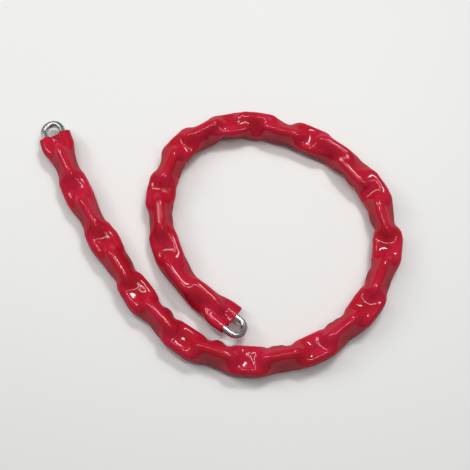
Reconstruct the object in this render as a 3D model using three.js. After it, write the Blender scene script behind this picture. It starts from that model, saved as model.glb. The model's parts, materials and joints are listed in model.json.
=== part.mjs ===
// A sleeved security chain, laid in a loose open loop on a flat surface.
//
// Round-wire links hang in each other, every second one standing on edge. A soft tube is drawn
// over the whole chain and stops short at both ends, so that the two end links stay bare for a
// padlock's shackle. Lengths are in millimetres. +Z is up, and the chain lies on Z = 0.

import * as THREE from 'three';

// ---- driving sizes ----------------------------------------------------------------------
const linkCount = 34;
const wireDiameter = 6;
const eyeLength = 28;          // inside length of a link
const eyeWidth = 9.5;          // inside width of a link
const contactGap = 0.3;        // air left between wires that touch
const sleeveWall = 1;
const sleeveClearance = 0.6;   // air between the wires and the sleeve
const sleeveSeamGap = 0.3;     // air between two stretches of the sleeve
const bareLength = 20.5;       // how far an end link stands out of the sleeve
const endLinkDroop = 7;        // degrees that the first, flat end link's tip hangs down

// ---- how the chain lies -------------------------------------------------------------------
// Points that the chain passes over, from the first end link to the last. Only their shape
// counts: the route is scaled to the chain's own length.
const routePoints = [
  [-158, 96], [-140, 54], [-120, 14], [-96, -24], [-70, -61], [-37, -91], [5, -105],
  [48, -101], [88, -79], [115, -43], [124, 0], [110, 41], [79, 72], [37, 90], [-8, 94],
  [-45, 73], [-61, 33], [-57, -12], [-42, -40], [-19, -63], [6, -83],
];

// Slack between one link and the next. The chain is drawn out along the bottom of the loop
// and is pushed together round its top.
const slackStretches = [
  { links: 5, slack: 2 }, { links: 12, slack: 0.8 }, { links: 8, slack: 3.9 },
  { links: 4, slack: 5.4 }, { links: 2, slack: 0.4 }, { links: 2, slack: 2.4 },
];

// How far each link leans away from square to the one before it, as a share of the lean that
// the wires leave room for. The long run of equal leans turns the chain by a quarter round its top.
const leanShares = [
  0.1, -0.2, 0.2, 0, -0.15, 0.15, 0, 0.1, -0.1, 0, 0, 0.15, -0.15, 0.1, -0.1, 0, 0.15,
  0.2, 0.28, 0.28, 0.36, 0.38, 0.36, 0.3, 0.16, 0.13, 0, 0.1, -0.1, -0.2, -0.25, -0.25, -0.25,
];

// ---- fineness of the solids -----------------------------------------------------------------
const wireSides = 8;
const bowSteps = 5;            // straight pieces in a link's round end, odd so that one faces out
const endLinkBowSteps = 9;
const ringSpacing = 7;         // between the sleeve's rings
const sleeveSides = 8;

// ---- sizes that follow ----------------------------------------------------------------------
const wireRadius = wireDiameter / 2;
const bowRadius = (eyeWidth + wireDiameter) / 2;           // of the wire's centre line
const pinDistance = eyeLength + wireDiameter;              // between a link's two end wires
const largestLean = Math.acos((wireDiameter + contactGap) / (2 * bowRadius));
const up = new THREE.Vector3(0, 0, 1);

const steel = new THREE.MeshStandardMaterial({
  name: 'zinc_plated_steel', color: 0xb9bcc0, roughness: 0.28, metalness: 1,
});
const vinyl = new THREE.MeshStandardMaterial({
  name: 'red_vinyl', color: 0xb01428, roughness: 0.18, metalness: 0,
});

// Joins rings of points into one closed surface. A looped skin ends where it started, and an
// open one is closed by joining its last ring to its first as well, straight across the walls.
function skin(rings) {
  const sides = rings[0].length;
  const positions = rings.flat().flatMap((p) => p.toArray());
  const indices = [];
  for (let i = 0; i < rings.length; i += 1) {
    const next = (i + 1) % rings.length;
    for (let j = 0; j < sides; j += 1) {
      const a = i * sides + j;
      const b = i * sides + ((j + 1) % sides);
      const c = next * sides + ((j + 1) % sides);
      const d = next * sides + j;
      indices.push(a, b, c, a, c, d);
    }
  }
  const geometry = new THREE.BufferGeometry();
  geometry.setAttribute('position', new THREE.Float32BufferAttribute(positions, 3));
  geometry.setIndex(indices);
  geometry.computeVertexNormals();
  return geometry;
}

// Points of a link's centre line in its own plane, X along the link, with the direction that
// faces away from the eye.
function bowStations(steps) {
  const stations = [];
  const halfStep = Math.PI / steps / 2;
  // the corners stand out and the flats stand in by the same amount
  const cornerRadius = (bowRadius * 2) / (1 + Math.cos(halfStep));
  for (const side of [1, -1]) {
    for (let i = 0; i <= steps; i += 1) {
      const angle = -Math.PI / 2 + (Math.PI * i) / steps;
      const outward = new THREE.Vector2(Math.cos(angle) * side, Math.sin(angle) * side);
      const radius = i === 0 || i === steps ? bowRadius : cornerRadius;
      const bowCentre = (side * (pinDistance - 2 * bowRadius)) / 2;
      stations.push({
        centre: new THREE.Vector2(bowCentre + outward.x * radius, outward.y * radius),
        outward,
      });
    }
  }
  return stations;
}

function linkGeometry(steps) {
  // half way between a section drawn inside the round wire and one drawn outside it
  const cornerRadius = (wireRadius * 2) / (1 + Math.cos(Math.PI / wireSides));
  const rings = bowStations(steps).map(({ centre, outward }) => {
    const ring = [];
    for (let j = 0; j < wireSides; j += 1) {
      const angle = (2 * Math.PI * (j + 0.5)) / wireSides;
      const reach = Math.cos(angle) * cornerRadius;
      ring.push(new THREE.Vector3(
        centre.x + outward.x * reach,
        centre.y + outward.y * reach,
        -Math.sin(angle) * cornerRadius,
      ));
    }
    return ring;
  });
  return skin(rings);
}

// ---- where each link lies -------------------------------------------------------------------
const slacks = slackStretches.flatMap(({ links, slack }) => Array(links).fill(slack));
const rolls = [0];
leanShares.forEach((share) => {
  rolls.push(rolls[rolls.length - 1] + Math.PI / 2 - share * largestLean);
});

// Two links turn on each other at a joint. The wires overlap there, and the more a link stands
// on edge, the nearer the joint is to its own end wire.
const joints = slacks.map((slack, i) => {
  const overlap = wireDiameter + contactGap + slack;
  const flatBefore = Math.cos(rolls[i]) ** 2;
  const flatAfter = Math.cos(rolls[i + 1]) ** 2;
  const shareBefore = flatBefore / (flatBefore + flatAfter);
  return { beyondBefore: overlap * shareBefore, beyondAfter: overlap * (1 - shareBefore) };
});
const spans = rolls.map((roll, i) => {
  const atStart = i > 0 ? joints[i - 1].beyondAfter : 0;
  const atEnd = i < joints.length ? joints[i].beyondBefore : 0;
  return pinDistance - atStart - atEnd;
});

function scaledRoute(scale) {
  const points = routePoints.map(([x, y]) => new THREE.Vector3(x, y, 0).multiplyScalar(scale));
  const curve = new THREE.CatmullRomCurve3(points, false, 'centripetal');
  curve.arcLengthDivisions = 2000;
  return curve;
}

// The distance along the curve, past start, at which a straight step of the given length ends.
function stepAlong(curve, length, start, step) {
  const from = curve.getPointAt(start / length);
  let low = start;
  let high = start + step * 1.5;
  for (let i = 0; i < 40; i += 1) {
    const middle = (low + high) / 2;
    const to = curve.getPointAt(Math.min(1, middle / length));
    if (from.distanceTo(to) < step) low = middle;
    else high = middle;
  }
  return low;
}

function walk(curve) {
  const length = curve.getLength();
  const stops = [0];
  spans.forEach((span) => stops.push(stepAlong(curve, length, stops[stops.length - 1], span)));
  return { stops, length };
}

// The chain's joints cut corners off the curve, so the scale is closed in on.
const straightLength = spans.reduce((sum, span) => sum + span, 0);
let scale = straightLength / scaledRoute(1).getLength();
for (let i = 0; i < 6; i += 1) {
  const longer = scaledRoute(scale * 1.05);
  scale *= (walk(longer).stops.at(-1) / longer.getLength()) * 1.05;
}
const route = scaledRoute(scale);
const { stops, length: routeLength } = walk(route);
const pointAt = (distance) => route.getPointAt(THREE.MathUtils.clamp(distance / routeLength, 0, 1));
const corners = stops.map(pointAt);

const placements = rolls.map((roll, i) => {
  const along = corners[i + 1].clone().sub(corners[i]).normalize();
  const startPin = corners[i].clone().addScaledVector(along, i > 0 ? -joints[i - 1].beyondAfter : 0);
  const frame = new THREE.Matrix4().makeBasis(along, up.clone().cross(along), up);
  const turn = new THREE.Matrix4().makeRotationX(roll);
  if (i === 0) {
    // the bare end link tips about the wire that carries it
    const carried = pinDistance / 2 - joints[0].beyondBefore;
    turn.premultiply(new THREE.Matrix4().makeTranslation(-carried, 0, 0));
    turn.premultiply(new THREE.Matrix4().makeRotationY(-THREE.MathUtils.degToRad(endLinkDroop)));
    turn.premultiply(new THREE.Matrix4().makeTranslation(carried, 0, 0));
  }
  const centre = startPin.addScaledVector(along, pinDistance / 2);
  return frame.setPosition(centre).multiply(turn);
});

// ---- the sleeve -----------------------------------------------------------------------------
// Points close together on every link's centre line, from which the sleeve keeps its distance.
const wirePoints = placements.map((placement) => {
  const stations = bowStations(12).map(({ centre }) => centre);
  const points = [];
  stations.forEach((point, i) => {
    const next = stations[(i + 1) % stations.length];
    const pieces = Math.ceil(point.distanceTo(next));
    for (let k = 0; k < pieces; k += 1) {
      const at = point.clone().lerp(next, k / pieces);
      points.push(new THREE.Vector3(at.x, at.y, 0).applyMatrix4(placement));
    }
  });
  return points;
});

// The sleeve's sections at one distance along the route: the tightest eight-sided outline that
// clears every wire from the ring before to the ring after, and the same outline a wall outside.
function sleeveRings(distance, reach, wires) {
  const centre = pointAt(distance);
  const along = route.getTangentAt(THREE.MathUtils.clamp(distance / routeLength, 0, 1));
  const side = up.clone().cross(along);
  const near = wires
    .map((point) => point.clone().sub(centre))
    .filter((offset) => Math.abs(offset.dot(along)) < reach);
  const directions = Array.from({ length: sleeveSides }, (_, j) => {
    const angle = (2 * Math.PI * j) / sleeveSides;
    return side.clone().multiplyScalar(Math.cos(angle)).addScaledVector(up, Math.sin(angle));
  });
  const distances = directions.map((direction) => (
    Math.max(...near.map((offset) => offset.dot(direction))) + wireRadius + sleeveClearance
  ));
  const outline = (extra) => directions.map((direction, j) => {
    // the corner between this face and the next one
    const nextDirection = directions[(j + 1) % sleeveSides];
    const here = distances[j] + extra;
    const next = distances[(j + 1) % sleeveSides] + extra;
    const cosine = direction.dot(nextDirection);
    const alongHere = (here - next * cosine) / (1 - cosine ** 2);
    const alongNext = (next - here * cosine) / (1 - cosine ** 2);
    return centre.clone().addScaledVector(direction, alongHere)
      .addScaledVector(nextDirection, alongNext);
  });
  return { inner: outline(0), outer: outline(sleeveWall) };
}

function sleeveGeometry(from, to, wires) {
  const steps = Math.round((to - from) / ringSpacing);
  const spacing = (to - from) / steps;
  const rings = Array.from({ length: steps + 1 }, (_, i) => (
    sleeveRings(from + i * spacing, spacing + wireRadius, wires)
  ));
  const outside = rings.map(({ outer }) => outer);
  const inside = rings.map(({ inner }) => inner).reverse();
  return skin([...outside, ...inside]);
}

// ---- the assembly ---------------------------------------------------------------------------
const chain = new THREE.Group();
const twoDigits = (number) => String(number).padStart(2, '0');
const innerLink = linkGeometry(bowSteps);
const endLink = linkGeometry(endLinkBowSteps);

placements.forEach((placement, i) => {
  const isEnd = i === 0 || i === linkCount - 1;
  const link = new THREE.Mesh(isEnd ? endLink : innerLink, steel);
  link.name = `link_${twoDigits(i + 1)}`;
  link.applyMatrix4(placement);
  chain.add(link);
});

// One stretch of sleeve round every second link, from the middle of the link before it to the
// middle of the link after it, or to the sleeve's mouth.
const middles = stops.slice(1).map((stop, i) => (stops[i] + stop) / 2);
const mouths = [bareLength - wireRadius, stops[linkCount] + wireRadius - bareLength];
for (let i = 1; i < linkCount; i += 2) {
  const from = i === 1 ? mouths[0] : middles[i - 1] + sleeveSeamGap / 2;
  const to = i === linkCount - 1 ? mouths[1] : middles[i + 1] - sleeveSeamGap / 2;
  const wires = wirePoints.slice(Math.max(0, i - 2), i + 3).flat();
  const stretch = new THREE.Mesh(sleeveGeometry(from, to, wires), vinyl);
  stretch.name = `sleeve_${twoDigits((i + 1) / 2)}`;
  chain.add(stretch);
}

// The origin is under the middle of the chain's box.
chain.updateMatrixWorld(true);
const box = new THREE.Box3().setFromObject(chain, true);
const middle = box.getCenter(new THREE.Vector3());
chain.position.set(-middle.x, -middle.y, -box.min.z);
chain.userData.joints = corners.slice(1, -1).map((corner) => (
  [corner.x - middle.x, corner.y - middle.y, -box.min.z]
));

export default chain;
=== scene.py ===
# %% [markdown]
# # A steel chain in a red vinyl sleeve
# The real thing is a short welded chain with a soft vinyl tube drawn over it, so that it doesn't
# scratch what it is put round. Only the two end links show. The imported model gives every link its
# place and every hinge its point, and this lesson builds the finished surfaces on top of them.

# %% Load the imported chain
import json
import math

import bpy
import numpy as np
from mathutils import Matrix, Vector


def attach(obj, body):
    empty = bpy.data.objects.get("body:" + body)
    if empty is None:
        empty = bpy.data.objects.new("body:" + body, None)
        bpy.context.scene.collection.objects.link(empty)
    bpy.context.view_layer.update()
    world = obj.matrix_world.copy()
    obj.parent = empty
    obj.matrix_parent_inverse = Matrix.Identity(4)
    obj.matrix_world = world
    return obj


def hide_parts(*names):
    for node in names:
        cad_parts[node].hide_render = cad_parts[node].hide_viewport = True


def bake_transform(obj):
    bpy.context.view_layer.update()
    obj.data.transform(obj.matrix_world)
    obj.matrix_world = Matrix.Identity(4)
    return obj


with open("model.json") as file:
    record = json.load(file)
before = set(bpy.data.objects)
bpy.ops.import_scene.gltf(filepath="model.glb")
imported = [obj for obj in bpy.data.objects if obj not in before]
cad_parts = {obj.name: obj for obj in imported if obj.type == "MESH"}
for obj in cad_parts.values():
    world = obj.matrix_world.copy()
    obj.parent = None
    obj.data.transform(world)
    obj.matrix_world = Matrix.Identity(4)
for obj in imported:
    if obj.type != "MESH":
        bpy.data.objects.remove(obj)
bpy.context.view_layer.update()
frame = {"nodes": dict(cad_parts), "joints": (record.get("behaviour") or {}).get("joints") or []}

MM = 0.001

# %% [markdown]
# ## Where each link lies
# A link is a flat ring, so its own vertices tell which way it points: they spread most along the
# link, less across it and least through it. A singular value decomposition finds those three
# directions, which saves writing any place down a second time.

# %% Find every link's centre and directions
link_names = sorted(name for name in frame["nodes"] if name.startswith("link_"))
sleeve_names = sorted(name for name in frame["nodes"] if name.startswith("sleeve_"))
hinge_points = [np.array(joint["pos_m"]) for joint in sorted(frame["joints"], key=lambda j: j["name"])]


def link_place(name):
    """A link's centre, and its directions along, across and through the ring as rows."""
    points = np.array([vertex.co for vertex in frame["nodes"][name].data.vertices])
    middle = points.mean(axis=0)
    directions = np.linalg.svd(points - middle, full_matrices=False)[2]
    spread = (points - middle) @ directions.T
    return middle + (spread.min(axis=0) + spread.max(axis=0)) / 2 @ directions, directions


link_centres, link_turns = [], []
for index, name in enumerate(link_names):
    centre, turn = link_place(name)
    if index < len(hinge_points):
        ahead = hinge_points[index] - centre
    else:
        ahead = centre - hinge_points[index - 1]
    turn[0] *= np.sign(turn[0] @ ahead)
    turn[2] = np.cross(turn[0], turn[1])
    link_centres.append(centre)
    link_turns.append(turn)
link_centres, link_turns = np.array(link_centres), np.array(link_turns)
print(len(link_names), "links,", len(sleeve_names), "stretches of sleeve,", len(hinge_points), "hinges")

# %% [markdown]
# ## Camera, floor and light
# The chain lies on a table and is seen from nearly above, a little from the front. Four soft boxes
# light it from overhead and from the left, and two narrow strips give the vinyl its long thin
# highlights. Two of the boxes only fill in: they light the colours but aren't mirrored in the gloss.

# %% The camera
CAMERA_TILT = math.radians(17)
CAMERA_DISTANCE = 0.61
CAMERA_ANGLE = math.radians(36)
CAMERA_AIM = Vector((0.01505, 0.00559, 0.0))
CAMERA_SIDE = Vector((0, -math.sin(CAMERA_TILT), math.cos(CAMERA_TILT)))

camera_data = bpy.data.cameras.new("table_camera")
camera_data.angle = CAMERA_ANGLE
camera = bpy.data.objects.new("table_camera", camera_data)
camera.location = CAMERA_AIM + CAMERA_DISTANCE * CAMERA_SIDE
camera.rotation_euler = (CAMERA_TILT, 0, 0)
bpy.context.collection.objects.link(camera)
bpy.context.scene.camera = camera
bpy.context.scene.view_settings.view_transform = "Standard"
print("camera", [round(x, 3) for x in camera.location])


# %% Lights and the air round them
def soft_box(name, place, size, watts, mirrored=True):
    """An area light that faces the middle of the floor. A fill light isn't mirrored in gloss."""
    data = bpy.data.lights.new(name, "AREA")
    data.shape = "RECTANGLE"
    data.size, data.size_y = size
    data.energy = watts
    lamp = bpy.data.objects.new(name, data)
    lamp.location = place
    lamp.rotation_euler = (-Vector(place)).to_track_quat("-Z", "Y").to_euler()
    lamp.visible_glossy = mirrored
    bpy.context.collection.objects.link(lamp)


soft_box("ceiling_fill", (0.45, 0.75, 1.3), (0.7, 0.5), 5, mirrored=False)
soft_box("window_fill", (-1.1, 0.5, 0.9), (0.6, 0.6), 2.8, mirrored=False)
soft_box("ceiling_lamp", (0.4, 0.7, 1.3), (0.36, 0.14), 5.5)
soft_box("window_lamp", (-1.0, 0.45, 1.0), (0.14, 0.6), 3)
soft_box("strip_left", (-0.28, 0.25, 1.0), (0.03, 0.7), 2.2)
soft_box("strip_right", (0.35, -0.1, 1.0), (0.03, 0.7), 1.9)

world = bpy.data.worlds.new("room")
bpy.context.scene.world = world
world.use_nodes = True
world.node_tree.nodes["Background"].inputs["Color"].default_value = (0.82, 0.85, 0.88, 1)
world.node_tree.nodes["Background"].inputs["Strength"].default_value = 0.2

# %% The floor
FLOOR_REACH = 3.0
floor_corners = [(x * FLOOR_REACH, y * FLOOR_REACH, 0) for x, y in ((-1, -1), (1, -1), (1, 1), (-1, 1))]
floor_data = bpy.data.meshes.new("floor")
floor_data.from_pydata(floor_corners, [], [(0, 1, 2, 3)])
floor = bpy.data.objects.new("floor", floor_data)
bpy.context.collection.objects.link(floor)
floor_paint = bpy.data.materials.new("pale_floor")
floor_paint.use_nodes = True
floor_shader = floor_paint.node_tree.nodes["Principled BSDF"]
floor_shader.inputs["Base Color"].default_value = (0.8, 0.8, 0.78, 1)
floor_shader.inputs["Roughness"].default_value = 0.55
floor_data.materials.append(floor_paint)

# %% [markdown]
# ## Shared effects
# Both finishes need the same two small things: a fine surface grain that breaks up a reflection,
# and a patchy mask for handling marks. Each is a node group, built once.

# %% A helper that wires nodes
def wire(tree, start, end):
    """Joins an output socket to an input socket."""
    tree.links.new(start, end)


def group_tree(name, inputs, outputs):
    """A shader node group with named sockets, and its two end nodes."""
    tree = bpy.data.node_groups.new(name, "ShaderNodeTree")
    for label, kind, value in inputs:
        socket = tree.interface.new_socket(label, in_out="INPUT", socket_type=kind)
        if value is not None:
            socket.default_value = value
    for label, kind in outputs:
        tree.interface.new_socket(label, in_out="OUTPUT", socket_type=kind)
    return tree, tree.nodes.new("NodeGroupInput"), tree.nodes.new("NodeGroupOutput")


# %% Fine grain
def make_grain_group():
    """Grain height from fine noise, from -1 to 1 times Amount."""
    tree, inputs, outputs = group_tree(
        "fine_grain",
        [("Vector", "NodeSocketVector", None), ("Scale", "NodeSocketFloat", 900.0),
         ("Detail", "NodeSocketFloat", 3.0), ("Amount", "NodeSocketFloat", 1.0)],
        [("Height", "NodeSocketFloat")])
    noise = tree.nodes.new("ShaderNodeTexNoise")
    centre = tree.nodes.new("ShaderNodeMath")
    centre.operation = "SUBTRACT"
    centre.inputs[1].default_value = 0.5
    scale = tree.nodes.new("ShaderNodeMath")
    scale.operation = "MULTIPLY"
    wire(tree, inputs.outputs["Vector"], noise.inputs["Vector"])
    wire(tree, inputs.outputs["Scale"], noise.inputs["Scale"])
    wire(tree, inputs.outputs["Detail"], noise.inputs["Detail"])
    wire(tree, noise.outputs["Fac"], centre.inputs[0])
    wire(tree, centre.outputs[0], scale.inputs[0])
    wire(tree, inputs.outputs["Amount"], scale.inputs[1])
    wire(tree, scale.outputs[0], outputs.inputs["Height"])
    return tree


grain_group = make_grain_group()


# %% Handling marks
def make_marks_group():
    """A patchy mask, 0 where the surface is clean and 1 where it is rubbed."""
    tree, inputs, outputs = group_tree(
        "handling_marks",
        [("Vector", "NodeSocketVector", None), ("Scale", "NodeSocketFloat", 60.0),
         ("Start", "NodeSocketFloat", 0.45), ("Full", "NodeSocketFloat", 0.75)],
        [("Mask", "NodeSocketFloat")])
    noise = tree.nodes.new("ShaderNodeTexNoise")
    noise.inputs["Detail"].default_value = 6.0
    noise.inputs["Distortion"].default_value = 0.6
    spread = tree.nodes.new("ShaderNodeMapRange")
    spread.interpolation_type = "SMOOTHSTEP"
    wire(tree, inputs.outputs["Vector"], noise.inputs["Vector"])
    wire(tree, inputs.outputs["Scale"], noise.inputs["Scale"])
    wire(tree, noise.outputs["Fac"], spread.inputs["Value"])
    wire(tree, inputs.outputs["Start"], spread.inputs["From Min"])
    wire(tree, inputs.outputs["Full"], spread.inputs["From Max"])
    wire(tree, spread.outputs["Result"], outputs.inputs["Mask"])
    return tree


marks_group = make_marks_group()
print("shared groups:", grain_group.name, marks_group.name)


# %% Helpers for a material's own nodes
def place_group(tree, group, vector, **values):
    """A copy of a shared group in a material, fed by a vector socket."""
    node = tree.nodes.new("ShaderNodeGroup")
    node.node_tree = group
    wire(tree, vector, node.inputs["Vector"])
    for label, value in values.items():
        node.inputs[label].default_value = value
    return node


def blend_colours(tree, mask, low, high):
    """Mixes two colours by a mask. A colour is three numbers or another colour socket."""
    mix = tree.nodes.new("ShaderNodeMix")
    mix.data_type = "RGBA"
    wire(tree, mask, mix.inputs["Factor"])
    for label, colour in (("A", low), ("B", high)):
        socket = [s for s in mix.inputs if s.name == label and s.type == "RGBA"][0]
        if isinstance(colour, bpy.types.NodeSocket):
            wire(tree, colour, socket)
        else:
            socket.default_value = (*colour, 1)
    return [s for s in mix.outputs if s.type == "RGBA"][0]


def spread_value(tree, value, from_low, from_high, to_low, to_high):
    """Maps a changing value from one range to another."""
    node = tree.nodes.new("ShaderNodeMapRange")
    node.inputs["From Min"].default_value = from_low
    node.inputs["From Max"].default_value = from_high
    node.inputs["To Min"].default_value = to_low
    node.inputs["To Max"].default_value = to_high
    wire(tree, value, node.inputs["Value"])
    return node.outputs["Result"]


def add_bump(tree, height, strength, distance, before=None):
    """The normal that a height gives, on top of an earlier normal if there is one."""
    bump = tree.nodes.new("ShaderNodeBump")
    bump.inputs["Strength"].default_value = strength
    bump.inputs["Distance"].default_value = distance
    wire(tree, height, bump.inputs["Height"])
    if before is not None:
        wire(tree, before, bump.inputs["Normal"])
    return bump.outputs["Normal"]


# %% [markdown]
# ## Zinc-plated steel
# Bright zinc over drawn wire is a clean grey mirror that isn't quite smooth. The plating is faintly
# cloudy and rubbed darker in small patches, and a fine grain breaks up what it mirrors. All of it
# comes from noise in the piece's own coordinates, because a ring has no seam to start a pattern from.

# %% Build the steel
BRIGHT_ZINC = (0.66, 0.67, 0.66)
CLOUDY_ZINC = (0.54, 0.55, 0.54)
RUBBED_STEEL = (0.42, 0.41, 0.40)


def make_steel():
    """Cloudy bright zinc, darker where it is rubbed, over the grain of drawn wire."""
    paint = bpy.data.materials.new("zinc_plated_steel")
    paint.use_nodes = True
    tree = paint.node_tree
    shader = tree.nodes["Principled BSDF"]
    shader.inputs["Metallic"].default_value = 1.0
    place = tree.nodes.new("ShaderNodeTexCoord").outputs["Object"]
    cloud = place_group(tree, marks_group, place, Scale=220.0, Start=0.35, Full=0.7)
    rubbed = place_group(tree, marks_group, place, Scale=480.0, Start=0.56, Full=0.74)
    grain = place_group(tree, grain_group, place, Scale=1500.0, Detail=2.0, Amount=1.0)
    plated = blend_colours(tree, cloud.outputs["Mask"], BRIGHT_ZINC, CLOUDY_ZINC)
    worn = blend_colours(tree, rubbed.outputs["Mask"], plated, RUBBED_STEEL)
    wire(tree, worn, shader.inputs["Base Color"])
    wire(tree, spread_value(tree, cloud.outputs["Mask"], 0, 1, 0.24, 0.32), shader.inputs["Roughness"])
    grainy = add_bump(tree, grain.outputs["Height"], strength=0.02, distance=0.00003)
    wire(tree, grainy, shader.inputs["Normal"])
    return paint


steel = make_steel()
print("made", steel.name)

# %% [markdown]
# ## The links
# A welded link is one wire bent into a long ring, with a slight swelling where its ends were
# joined. Geometry Nodes suit it: a rectangle with its corners rounded all the way is the wire's
# centre line, a circle swept along it is the wire, and the radius grows a little at the weld.

# %% Driving sizes of a link
WIRE_DIAMETER = 6.0 * MM
EYE_LENGTH = 28.0 * MM
EYE_WIDTH = 9.5 * MM
WELD_SWELL = 0.05           # extra radius at the weld, as a share
WELD_FADE = 6               # how quickly that swelling fades along the wire
LINK_EASE = 0.1 * MM        # the finished wire is this much thinner, so that links turn freely
CORNER_POINTS = 24          # points in each rounded corner
WIRE_POINTS = 96            # points along the whole wire
SECTION_POINTS = 20         # points round the wire


# %% The tree that bends and sweeps the wire
def new_geometry_tree(name, inputs):
    """A Geometry Nodes tree with named sizes, and the sockets of its two end nodes."""
    tree = bpy.data.node_groups.new(name, "GeometryNodeTree")
    for label, value in inputs:
        socket = tree.interface.new_socket(label, in_out="INPUT", socket_type="NodeSocketFloat")
        socket.default_value = value
    tree.interface.new_socket("Geometry", in_out="OUTPUT", socket_type="NodeSocketGeometry")
    return tree, tree.nodes.new("NodeGroupInput").outputs, tree.nodes.new("NodeGroupOutput").inputs


def do_math(tree, operation, *terms):
    """A Math node, whose terms are numbers or sockets."""
    node = tree.nodes.new("ShaderNodeMath")
    node.operation = operation
    for slot, term in zip(node.inputs, terms):
        if isinstance(term, bpy.types.NodeSocket):
            wire(tree, term, slot)
        else:
            slot.default_value = term
    return node.outputs[0]


def make_link_tree():
    """The tree for one link, which lies flat with its length along X and its weld on the Y side."""
    tree, size, result = new_geometry_tree(
        "bent_link", [("Eye Length", EYE_LENGTH), ("Eye Width", EYE_WIDTH),
                      ("Wire Diameter", WIRE_DIAMETER), ("Weld Swell", WELD_SWELL)])
    centre_width = do_math(tree, "ADD", size["Eye Width"], size["Wire Diameter"])
    outline = tree.nodes.new("GeometryNodeCurvePrimitiveQuadrilateral")
    wire(tree, do_math(tree, "ADD", size["Eye Length"], size["Wire Diameter"]), outline.inputs["Width"])
    wire(tree, centre_width, outline.inputs["Height"])
    rounded = tree.nodes.new("GeometryNodeFilletCurve")
    rounded.mode = "POLY"
    rounded.inputs["Count"].default_value = CORNER_POINTS
    rounded.inputs["Limit Radius"].default_value = True
    wire(tree, outline.outputs["Curve"], rounded.inputs["Curve"])
    wire(tree, do_math(tree, "MULTIPLY", centre_width, 0.5), rounded.inputs["Radius"])
    even = tree.nodes.new("GeometryNodeResampleCurve")
    even.inputs["Count"].default_value = WIRE_POINTS
    wire(tree, rounded.outputs["Curve"], even.inputs["Curve"])
    place = tree.nodes.new("ShaderNodeSeparateXYZ")
    wire(tree, tree.nodes.new("GeometryNodeInputPosition").outputs[0], place.inputs[0])
    from_weld = do_math(tree, "DIVIDE", place.outputs["X"], size["Wire Diameter"])
    fall = do_math(tree, "MULTIPLY", do_math(tree, "POWER", from_weld, 2), -WELD_FADE)
    fade = do_math(tree, "POWER", math.e, fall)
    on_side = do_math(tree, "GREATER_THAN", place.outputs["Y"], 0)
    swell = do_math(tree, "MULTIPLY", do_math(tree, "MULTIPLY", fade, on_side), size["Weld Swell"])
    thickness = tree.nodes.new("GeometryNodeSetCurveRadius")
    wire(tree, even.outputs["Curve"], thickness.inputs["Curve"])
    wire(tree, do_math(tree, "ADD", swell, 1), thickness.inputs["Radius"])
    section = tree.nodes.new("GeometryNodeCurvePrimitiveCircle")
    section.inputs["Resolution"].default_value = SECTION_POINTS
    wire(tree, do_math(tree, "MULTIPLY", size["Wire Diameter"], 0.5), section.inputs["Radius"])
    sweep = tree.nodes.new("GeometryNodeCurveToMesh")
    wire(tree, thickness.outputs["Curve"], sweep.inputs["Curve"])
    wire(tree, section.outputs["Curve"], sweep.inputs["Profile Curve"])
    smooth = tree.nodes.new("GeometryNodeSetShadeSmooth")
    real = tree.nodes.new("GeometryNodeRealizeInstances")
    finish = tree.nodes.new("GeometryNodeSetMaterial")
    finish.inputs["Material"].default_value = steel
    wire(tree, sweep.outputs["Mesh"], smooth.inputs["Geometry"])
    wire(tree, smooth.outputs["Geometry"], real.inputs["Geometry"])
    wire(tree, real.outputs["Geometry"], finish.inputs["Geometry"])
    wire(tree, finish.outputs["Geometry"], result["Geometry"])
    return tree


# %% One pattern link, then a copy for every body
def pattern_mesh(tree, **sizes):
    """The plain mesh that a tree makes for the given sizes."""
    holder = bpy.data.objects.new("pattern", bpy.data.meshes.new("pattern"))
    bpy.context.collection.objects.link(holder)
    modifier = holder.modifiers.new("shape", "NODES")
    modifier.node_group = tree
    for item in tree.interface.items_tree:
        label = item.name.lower().replace(" ", "_")
        if item.in_out == "INPUT" and label in sizes:
            modifier[item.identifier] = sizes[label]
    seen = holder.evaluated_get(bpy.context.evaluated_depsgraph_get())
    mesh = bpy.data.meshes.new_from_object(seen)
    bpy.data.objects.remove(holder)
    return mesh


link_mesh = pattern_mesh(make_link_tree(), eye_length=EYE_LENGTH, eye_width=EYE_WIDTH,
                         wire_diameter=WIRE_DIAMETER - LINK_EASE, weld_swell=WELD_SWELL)
print("a link has", len(link_mesh.polygons), "faces")


def placing(centre, turn):
    """The matrix that lays a pattern link along its three directions."""
    matrix = Matrix(turn.T.tolist()).to_4x4()
    matrix.translation = centre.tolist()
    return matrix


for name, centre, turn in zip(link_names, link_centres, link_turns):
    mesh = link_mesh.copy()
    mesh.transform(placing(centre, turn))
    ring = bpy.data.objects.new("steel_" + name, mesh)
    bpy.context.collection.objects.link(ring)
    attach(ring, name)
    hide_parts(name)
print("laid", len(link_names), "links")

# %% [markdown]
# ## The sleeve's line
# The sleeve follows the chain, so its line runs through every link's centre and every hinge. The
# corners between links are rounded off by a running average, because a vinyl tube doesn't kink.

# %% Sizes of the sleeve
BARE_LENGTH = 21.5 * MM          # how far an end link stands out of the mouth
SLEEVE_WALL = 0.9 * MM
SLEEVE_GIRTH = 63 * MM           # distance round the tube
LIP_BULGE = 0.3 * MM             # how far the rounded lip of a mouth stands out
LENGTH_SPARE = 1.03              # the tube is a little longer than the line that it follows
ROUND_COUNT = 56                 # points round the tube, a multiple of 8 and 14
ROW_SPACING = 1.0 * MM
LINE_SPACING = 0.25 * MM         # the line is walked in finer steps while its corners are rounded
CORNER_WIDTH = 5 * MM            # width of the running average that rounds them
RING_ANGLES = np.arange(ROUND_COUNT) * 2 * math.pi / ROUND_COUNT


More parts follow.
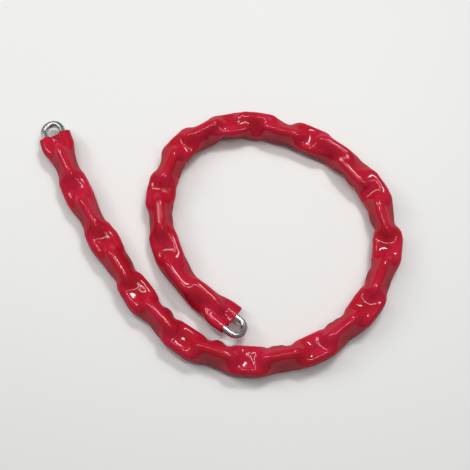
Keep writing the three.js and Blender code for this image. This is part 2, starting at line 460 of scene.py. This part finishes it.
# %% Walk the line in even steps
def walk_evenly(points, spacing):
    """Points at even distances along a line of straight pieces."""
    lengths = np.r_[0, np.cumsum(np.linalg.norm(np.diff(points, axis=0), axis=1))]
    count = int(round(lengths[-1] / spacing)) + 1
    marks = np.linspace(0, lengths[-1], count)
    return np.stack([np.interp(marks, lengths, points[:, axis]) for axis in range(3)], axis=1)


def round_corners(points, spacing, width):
    """A bell-shaped running average of evenly spaced points, which keeps the two ends in place.
    It reaches three widths to each side, which holds nearly all of the bell."""
    reach = int(3 * width / spacing)
    weights = np.exp(-0.5 * (np.arange(-reach, reach + 1) * spacing / width) ** 2)
    lead = points[0] + (points[0] - points[1:reach + 1])[::-1]
    tail = points[-1] + (points[-1] - points[-reach - 1:-1])[::-1]
    padded = np.r_[lead, points, tail]
    weights /= weights.sum()
    return np.stack([np.convolve(padded[:, axis], weights, "valid") for axis in range(3)], axis=1)


half_length = EYE_LENGTH / 2 + WIRE_DIAMETER
mouth_inset = half_length - BARE_LENGTH
corners = [link_centres[0] - mouth_inset * link_turns[0][0]]
for index, centre in enumerate(link_centres):
    corners.append(centre)
    if index < len(hinge_points):
        corners.append(hinge_points[index])
corners.append(link_centres[-1] + mouth_inset * link_turns[-1][0])
fine_line = round_corners(walk_evenly(np.array(corners), LINE_SPACING), LINE_SPACING, CORNER_WIDTH)
line = walk_evenly(fine_line, ROW_SPACING)
ROW_COUNT = len(line)
forward = np.gradient(line, axis=0)
forward /= np.linalg.norm(forward, axis=1)[:, None]
sideways = np.cross([0, 0, 1], forward)
sideways /= np.linalg.norm(sideways, axis=1)[:, None]
upwards = np.cross(forward, sideways)
link_rows = [int(np.argmin(np.linalg.norm(line - centre, axis=1))) for centre in link_centres]
print("sleeve line", round((ROW_COUNT - 1) * ROW_SPACING / MM), "mm in", ROW_COUNT, "rows")

# %% [markdown]
# ## Draping the sleeve
# Thin vinyl over a chain takes its shape from the rings inside it. It is drawn wide over a flat
# link, stands up over the next one and sinks into the gaps. Blender's cloth could do this, but a
# small solver written here is quicker and gives the same result every time: points are tied to
# their neighbours at fixed lengths, pushed off the wires and the floor, and pulled down a little.
# The tube's radius wanders slowly, since a real one is never quite even, and the tube is pressed
# flatter by force towards its two mouths.

# %% How the tube drapes
DRAPE_ROUNDS = 260
SAG = 0.006 * MM                 # how far weight moves a point down in each round
SWELL_OUT = 0.008 * MM           # how far the tube's spring moves it outwards meanwhile
MOVEMENT_KEPT = 0.8              # share of a round's movement that carries on into the next
START_RADIUS = 13 * MM           # the tube starts wide of every link
DRAW_IN_SHARE = 0.4              # and is drawn in over this share of the rounds
RING_STIFFNESS = 0.35            # how far the tube keeps itself round
LENGTH_STIFFNESS = 0.3           # how far it resists wrinkles
WIRE_CLEARANCE = 0.15 * MM       # air left between the wire and the inside of the tube
CONTACT_MARGIN = 6 * MM          # how far past its link's end a point may be and still be tested
UNEVENNESS = 0.055               # how much the tube's radius wanders
WAVE_COUNT = 40                  # slow waves that are added up to make it wander
WAVE_LENGTHS = (18, 70)          # the shortest and longest of them, in mm
MOUTH_FLAT = 22 * MM             # the tube is pressed flatter over this length at each mouth
MOUTH_PRESS = 0.02               # how hard, as a share of its height in each round
MOUTH_WIDEN = 0.014 * MM         # how far it spreads sideways meanwhile
TINY_LENGTH = 1e-9               # keeps a division by a length of nothing from failing
TINY_AREA = 1e-12                # and one by an area of nothing

# %% Ties between neighbouring points
grid = np.arange(ROW_COUNT * ROUND_COUNT).reshape(ROW_COUNT, ROUND_COUNT)


def ring_ties(step):
    """Pairs a number of points apart round the tube, in two sets that share no point."""
    columns = np.arange(ROUND_COUNT)
    for part in range(2):
        chosen = columns[(columns // step) % 2 == part]
        yield grid[:, chosen].ravel(), grid[:, (chosen + step) % ROUND_COUNT].ravel()


def length_ties(step):
    """Pairs a number of rows apart along the tube, in two sets that share no point."""
    rows = np.arange(ROW_COUNT - step)
    for part in range(2):
        chosen = rows[(rows // step) % 2 == part]
        yield grid[chosen].ravel(), grid[chosen + step].ravel()


def slant_ties():
    """Pairs across the corners of each cell, in four sets that share no point."""
    rows = np.arange(ROW_COUNT - 1)
    columns = np.arange(ROUND_COUNT)
    for part in range(2):
        chosen = rows[rows % 2 == part]
        for turn in (1, -1):
            yield grid[chosen].ravel(), grid[chosen + 1][:, (columns + turn) % ROUND_COUNT].ravel()


def tie_sets():
    """Every kind of tie, with its stiffness against stretch and squeeze, and its spare length.
    Ties of one step hold the surface together, and the longer ones only stop it from folding."""
    yield ring_ties(1), (1.0, 0.6), 1.0
    yield ring_ties(2), (0.0, RING_STIFFNESS), 1.0
    yield ring_ties(4), (0.0, RING_STIFFNESS), 1.0
    yield ring_ties(7), (0.0, RING_STIFFNESS), 1.0
    yield length_ties(1), (1.0, 0.4), LENGTH_SPARE
    yield length_ties(2), (0.0, LENGTH_STIFFNESS), LENGTH_SPARE
    yield length_ties(4), (0.0, LENGTH_STIFFNESS), LENGTH_SPARE
    yield length_ties(8), (0.0, LENGTH_STIFFNESS), 1.0
    yield slant_ties(), (0.3, 0.1), 1.0


def tighten(points, first, second, rest, against_stretch, against_squeeze):
    """Moves each pair towards its rest length."""
    gap = points[second] - points[first]
    length = np.sqrt((gap * gap).sum(axis=1)) + TINY_LENGTH
    over = length - rest
    share = np.where(over > 0, against_stretch, against_squeeze) * 0.5 * over / length
    gap *= share[:, None]
    points[first] += gap
    points[second] -= gap


# %% Contact with the wires
STRAIGHT_HALF = (EYE_LENGTH - EYE_WIDTH) / 2
BOW_RADIUS = (EYE_WIDTH + WIRE_DIAMETER) / 2


def contact_sets():
    """Points that may touch a link, in three sets of links that are too far apart to share any."""
    reach = int((half_length + CONTACT_MARGIN) / ROW_SPACING)
    for part in range(3):
        rows, centres, turns = [], [], []
        for index in range(part, len(link_names), 3):
            low, high = max(0, link_rows[index] - reach), min(ROW_COUNT, link_rows[index] + reach + 1)
            near = grid[low:high].ravel()
            rows.append(near)
            centres.append(np.repeat(link_centres[index][None], len(near), axis=0))
            turns.append(np.repeat(link_turns[index][None], len(near), axis=0))
        yield np.concatenate(rows), np.concatenate(centres), np.concatenate(turns)


def wire_offset(points, centres, turns):
    """Distance to a link's centre line, and the direction away from it."""
    local = np.einsum("nij,nj->ni", turns, points - centres)
    past = local[:, 0] - np.clip(local[:, 0], -STRAIGHT_HALF, STRAIGHT_HALF)
    radius = np.hypot(past, local[:, 1]) + TINY_LENGTH
    outward = radius - BOW_RADIUS
    distance = np.hypot(outward, local[:, 2]) + TINY_LENGTH
    away = np.stack([outward * past / radius, outward * local[:, 1] / radius, local[:, 2]], axis=1)
    return distance, np.einsum("nji,nj->ni", turns, away / distance[:, None])


contacts = list(contact_sets())


def push_off(points, gap):
    """Moves every point that is closer than the gap to a wire's centre line out to it."""
    for rows, centres, turns in contacts:
        distance, away = wire_offset(points[rows], centres, turns)
        deep = distance < gap
        points[rows[deep]] += away[deep] * (gap - distance[deep])[:, None]
    np.maximum(points[:, 2], 0, out=points[:, 2])


# %% Which way the surface faces
def surface_normals(points):
    """The outward direction at each draped point."""
    rows = points.reshape(ROW_COUNT, ROUND_COUNT, 3)
    along = np.gradient(rows, axis=0)
    around = np.roll(rows, -1, axis=1) - np.roll(rows, 1, axis=1)
    normal = np.cross(around, along)
    return (normal / (np.linalg.norm(normal, axis=2)[:, :, None] + TINY_AREA)).reshape(-1, 3)


# %% An uneven tube
def uneven_tube():
    """Slow swells and pinches along and round the tube, as a share of its radius."""
    random = np.random.default_rng(7)
    rows, columns = np.arange(ROW_COUNT)[:, None], np.arange(ROUND_COUNT)[None, :]
    swell = np.zeros((ROW_COUNT, ROUND_COUNT))
    for _ in range(WAVE_COUNT):
        wavelength = random.uniform(*WAVE_LENGTHS) * MM / ROW_SPACING
        turns_round = random.integers(0, 4)
        phase = random.uniform(0, 2 * math.pi)
        swell += np.sin(2 * math.pi * (rows / wavelength + turns_round * columns / ROUND_COUNT) + phase)
    return 1 + UNEVENNESS * (swell / swell.std())[:, :, None]


# %% Mouths pressed flat
def press_mouths(points):
    """Moves the tube near each mouth towards the plane of its end link, and wider across it."""
    rows = points.reshape(ROW_COUNT, ROUND_COUNT, 3)
    length = int(MOUTH_FLAT / ROW_SPACING)
    fade = np.linspace(1, 0, length)[:, None]
    for part, turn in ((slice(0, length), link_turns[0]), (slice(-1, -length - 1, -1), link_turns[-1])):
        offset = rows[part] - line[part][:, None]
        flatter = MOUTH_PRESS * fade * (offset @ turn[2])
        wider = MOUTH_WIDEN * fade * np.tanh((offset @ turn[1]) / WIRE_DIAMETER)
        rows[part] += wider[:, :, None] * turn[1] - flatter[:, :, None] * turn[2]


# %% Run the drape
def drape(rounds):
    """The outer surface of the sleeve as a flat list of points, one row after another."""
    across = np.cos(RING_ANGLES)[None, :, None]
    up = np.sin(RING_ANGLES)[None, :, None]
    ring = across * sideways[:, None] + up * upwards[:, None]
    natural_radius = SLEEVE_GIRTH / (2 * math.pi) * uneven_tube()
    natural = (line[:, None] + natural_radius * ring).reshape(-1, 3)
    points = (line[:, None] + START_RADIUS * ring).reshape(-1, 3)
    ties = []
    for pairs, stiffness, spare in tie_sets():
        for first, second in pairs:
            rest = np.linalg.norm(natural[second] - natural[first], axis=1) * spare
            ties.append((first, second, rest, *stiffness))
    gap = WIRE_DIAMETER / 2 + WIRE_CLEARANCE + SLEEVE_WALL
    widest = 2 * math.pi * START_RADIUS / SLEEVE_GIRTH
    from_mouth = np.minimum(np.arange(ROW_COUNT), np.arange(ROW_COUNT)[::-1]) * ROW_SPACING
    mouth_fade = np.repeat(np.clip(from_mouth / MOUTH_FLAT, 0, 1), ROUND_COUNT)[:, None]
    before = points.copy()
    for turn in range(rounds):
        moved = (points - before) * MOVEMENT_KEPT
        before = points.copy()
        points += moved
        points[:, :2] += SWELL_OUT * mouth_fade * surface_normals(points)[:, :2]
        points[:, 2] -= SAG
        press_mouths(points)
        slack = max(1.0, widest - (widest - 1) * turn / (DRAW_IN_SHARE * rounds))
        for first, second, rest, against_stretch, against_squeeze in ties:
            tighten(points, first, second, rest * slack, against_stretch, against_squeeze)
        push_off(points, gap)
    return points


skin = drape(DRAPE_ROUNDS)
print("draped", len(skin), "points")

# %% [markdown]
# ## From draped points to a wall
# The draped points are the outside. The inside is the same surface moved in by the wall, and the
# two meet in a small lip at each mouth. The normals are averaged with their neighbours first, so
# that a highlight runs smoothly along a fold.

# %% The two surfaces
NORMAL_ROUNDS = 3                # how many times each normal is averaged with its neighbours
FAR_OFF = 1.0                    # more than any gap between the vinyl and a wire


def even_normals(normals):
    """Normals averaged round the tube and along it, and brought back to a length of one."""
    for _ in range(NORMAL_ROUNDS):
        normals = (np.roll(normals, 1, axis=1) + 2 * normals + np.roll(normals, -1, axis=1)) / 4
        normals[1:-1] = (normals[:-2] + 2 * normals[1:-1] + normals[2:]) / 4
    return normals / np.linalg.norm(normals, axis=2)[:, :, None]


outside = skin.reshape(ROW_COUNT, ROUND_COUNT, 3)
normals = even_normals(surface_normals(skin).reshape(outside.shape))
inside = outside - SLEEVE_WALL * normals
nearest = np.full(len(skin), FAR_OFF)
for rows, centres, turns in contacts:
    nearest[rows] = np.minimum(nearest[rows], wire_offset(skin[rows], centres, turns)[0])
wire_gap = nearest.reshape(ROW_COUNT, ROUND_COUNT) - WIRE_DIAMETER / 2 - SLEEVE_WALL
print("vinyl to wire, mm:", round(wire_gap.min() / MM, 2), "to", round(wire_gap.max() / MM, 2))
print("height, mm:", round(outside[:, :, 2].max() / MM, 2))

# %% [markdown]
# ## Red vinyl
# Soft vinyl is glossy and lets a little light through. Its colour is painted darker where it lies
# on a wire and lighter where there is air behind it: painted shade and painted light through the
# vinyl. The gap to the nearest wire is kept at every point as an attribute, and the painted shade
# follows it. A second attribute gives every point's place on the tube as if it were straight and
# round, so that the faint marks of drawing run lengthwise. All the gloss comes from a thin coat of
# high index: plain gloss would mirror the pale floor on the steep sides and turn them grey.

# %% Where each point was on the tube
STREAK_STRETCH = 6               # pattern units in a metre along the tube, against about 100 round it

tube_place = np.zeros_like(outside)
tube_place[:, :, 0] = np.cos(RING_ANGLES)
tube_place[:, :, 1] = np.sin(RING_ANGLES)
tube_place[:, :, 2] = np.arange(ROW_COUNT)[:, None] * ROW_SPACING * STREAK_STRETCH
print("tube place runs to", round(tube_place[-1, 0, 2], 2))

# %% Build the vinyl
# The first four reds hold painted shade where the vinyl lies on a wire and painted light where there is air
# behind it.
RED_PAINTED_SHADE_ON_WIRE = (0.27, 0.005, 0.012)
RED_PAINTED_LIGHT_OVER_AIR = (0.46, 0.008, 0.022)
CRIMSON_PAINTED_SHADE_ON_WIRE = (0.33, 0.005, 0.022)
CRIMSON_PAINTED_LIGHT_OVER_AIR = (0.56, 0.012, 0.050)
DRAWN_RED = (0.38, 0.006, 0.018)
TOUCHING, HOLLOW = 0.2, 6.0      # gaps in mm between which the colour changes
STREAK_SCALE, STREAK_DETAIL = 16.0, 4.0
STREAK_DEPTH = 0.00025


def coat_bump(tree, vector):
    """A faint bump for the coat alone, from the same streaks as the vinyl under it."""
    noise = tree.nodes.new("ShaderNodeTexNoise")
    noise.inputs["Scale"].default_value = STREAK_SCALE
    noise.inputs["Detail"].default_value = STREAK_DETAIL
    wire(tree, vector, noise.inputs["Vector"])
    return add_bump(tree, noise.outputs["Fac"], strength=0.06, distance=STREAK_DEPTH)


def make_vinyl():
    """Red vinyl, patchy between two reds, with lengthwise streaks and a clear gloss over it."""
    paint = bpy.data.materials.new("red_vinyl")
    paint.use_nodes = True
    tree = paint.node_tree
    shader = tree.nodes["Principled BSDF"]
    place = tree.nodes.new("ShaderNodeTexCoord").outputs["Object"]
    over = tree.nodes.new("ShaderNodeAttribute")
    over.attribute_name = "wire_gap"
    on_tube = tree.nodes.new("ShaderNodeAttribute")
    on_tube.attribute_name = "tube_place"
    straight_tube = on_tube.outputs["Vector"]
    patch = place_group(tree, marks_group, place, Scale=55.0, Start=0.35, Full=0.7)
    rubbed = place_group(tree, marks_group, place, Scale=420.0, Start=0.55, Full=0.75)
    drawn = place_group(tree, marks_group, straight_tube, Scale=9.0, Start=0.4, Full=0.8)
    grain = place_group(tree, grain_group, place, Scale=1100.0, Detail=3.0, Amount=0.4)
    streaks = place_group(tree, grain_group, straight_tube,
                          Scale=STREAK_SCALE, Detail=STREAK_DETAIL, Amount=1.0)
    # The mask for painted shade: 1 where the vinyl touches a wire, 0 where there is air behind it.
    painted_shade_near_wire = spread_value(tree, over.outputs["Fac"], TOUCHING, HOLLOW, 1.0, 0.0)
    red = blend_colours(tree, painted_shade_near_wire, RED_PAINTED_SHADE_ON_WIRE, RED_PAINTED_LIGHT_OVER_AIR)
    crimson = blend_colours(tree, painted_shade_near_wire, CRIMSON_PAINTED_SHADE_ON_WIRE, CRIMSON_PAINTED_LIGHT_OVER_AIR)
    patched = blend_colours(tree, patch.outputs["Mask"], red, crimson)
    streaked = blend_colours(tree, drawn.outputs["Mask"], patched, DRAWN_RED)
    wire(tree, streaked, shader.inputs["Base Color"])
    wire(tree, spread_value(tree, rubbed.outputs["Mask"], 0, 1, 0.2, 0.34), shader.inputs["Roughness"])
    shader.inputs["Subsurface Weight"].default_value = 0.2
    shader.inputs["Subsurface Radius"].default_value = (1.0, 0.12, 0.1)
    shader.inputs["Subsurface Scale"].default_value = 0.003
    shader.inputs["Specular IOR Level"].default_value = 0.0
    shader.inputs["Coat Weight"].default_value = 0.19
    shader.inputs["Coat IOR"].default_value = 2.4
    shader.inputs["Coat Roughness"].default_value = 0.11
    drawn_lines = add_bump(tree, streaks.outputs["Height"], strength=0.22, distance=STREAK_DEPTH)
    all_lines = add_bump(tree, grain.outputs["Height"], strength=0.12, distance=0.00008, before=drawn_lines)
    wire(tree, all_lines, shader.inputs["Normal"])
    wire(tree, coat_bump(tree, straight_tube), shader.inputs["Coat Normal"])
    return paint


vinyl = make_vinyl()
print("made", vinyl.name)

# %% [markdown]
# ## A stretch of tube for each hinge
# Each hinge gets its own stretch of the tube, cut at the middle of a link. The cut edges of two
# stretches are the same points with the same normals, so that no seam shows.

# %% Build one stretch
def sleeve_stretch(name, low, high):
    """One stretch of the tube from row low to row high, with a lip where it ends in a mouth."""
    count = high - low + 1
    layers = [outside[low:high + 1], inside[low:high + 1]]
    layer_normals = [normals[low:high + 1], -normals[low:high + 1]]
    points = [layer.reshape(-1, 3) for layer in layers]
    facing = [layer.reshape(-1, 3) for layer in layer_normals]
    ids = np.arange(2 * count * ROUND_COUNT).reshape(2, count, ROUND_COUNT)
    gaps = [wire_gap[low:high + 1].ravel() / MM] * 2
    places = [tube_place[low:high + 1].reshape(-1, 3)] * 2
    faces = []

    def add_band(first, second):
        """Adds a closed band of faces between two rings of points."""
        ahead, ahead_second = np.roll(first, -1), np.roll(second, -1)
        faces.extend(np.stack([first, ahead, ahead_second, second], axis=1).tolist())

    for row in range(count - 1):
        add_band(ids[0, row], ids[0, row + 1])
        add_band(ids[1, row + 1], ids[1, row])
    for row, pull, is_mouth in ((0, -1, low == 0), (count - 1, 1, high == ROW_COUNT - 1)):
        if not is_mouth:
            continue
        lip = (outside[low + row] + inside[low + row]) / 2 + pull * LIP_BULGE * forward[low + row]
        lip_ids = np.arange(ROUND_COUNT) + sum(len(p) for p in points)
        points.append(lip)
        facing.append(np.repeat(pull * forward[low + row][None], ROUND_COUNT, axis=0))
        gaps.append(wire_gap[low + row] / MM)
        places.append(tube_place[low + row])
        bands = [(lip_ids, ids[0, row]), (ids[1, row], lip_ids)]
        for first, second in bands:
            add_band(*((first, second) if pull < 0 else (second, first)))
    mesh = bpy.data.meshes.new(name)
    mesh.from_pydata(np.concatenate(points).tolist(), [], faces)
    mesh.attributes.new("wire_gap", "FLOAT", "POINT").data.foreach_set(
        "value", np.concatenate(gaps).astype(np.float32))
    mesh.attributes.new("tube_place", "FLOAT_VECTOR", "POINT").data.foreach_set(
        "vector", np.concatenate(places).astype(np.float32).ravel())
    mesh.materials.append(vinyl)
    mesh.shade_smooth()
    mesh.normals_split_custom_set_from_vertices(np.concatenate(facing).tolist())
    piece = bpy.data.objects.new(name, mesh)
    bpy.context.collection.objects.link(piece)
    return piece


for index, hinge in enumerate(hinge_points):
    low = 0 if index == 0 else link_rows[index]
    high = ROW_COUNT - 1 if index == len(hinge_points) - 1 else link_rows[index + 1]
    stretch = sleeve_stretch(f"vinyl_{index + 1:02d}_{index + 2:02d}", low, high)
    run = link_centres[index + 1] - link_centres[index]
    run /= np.linalg.norm(run)
    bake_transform(stretch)
    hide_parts(sleeve_names[index // 2])
print("sleeve in", len(hinge_points), "stretches")
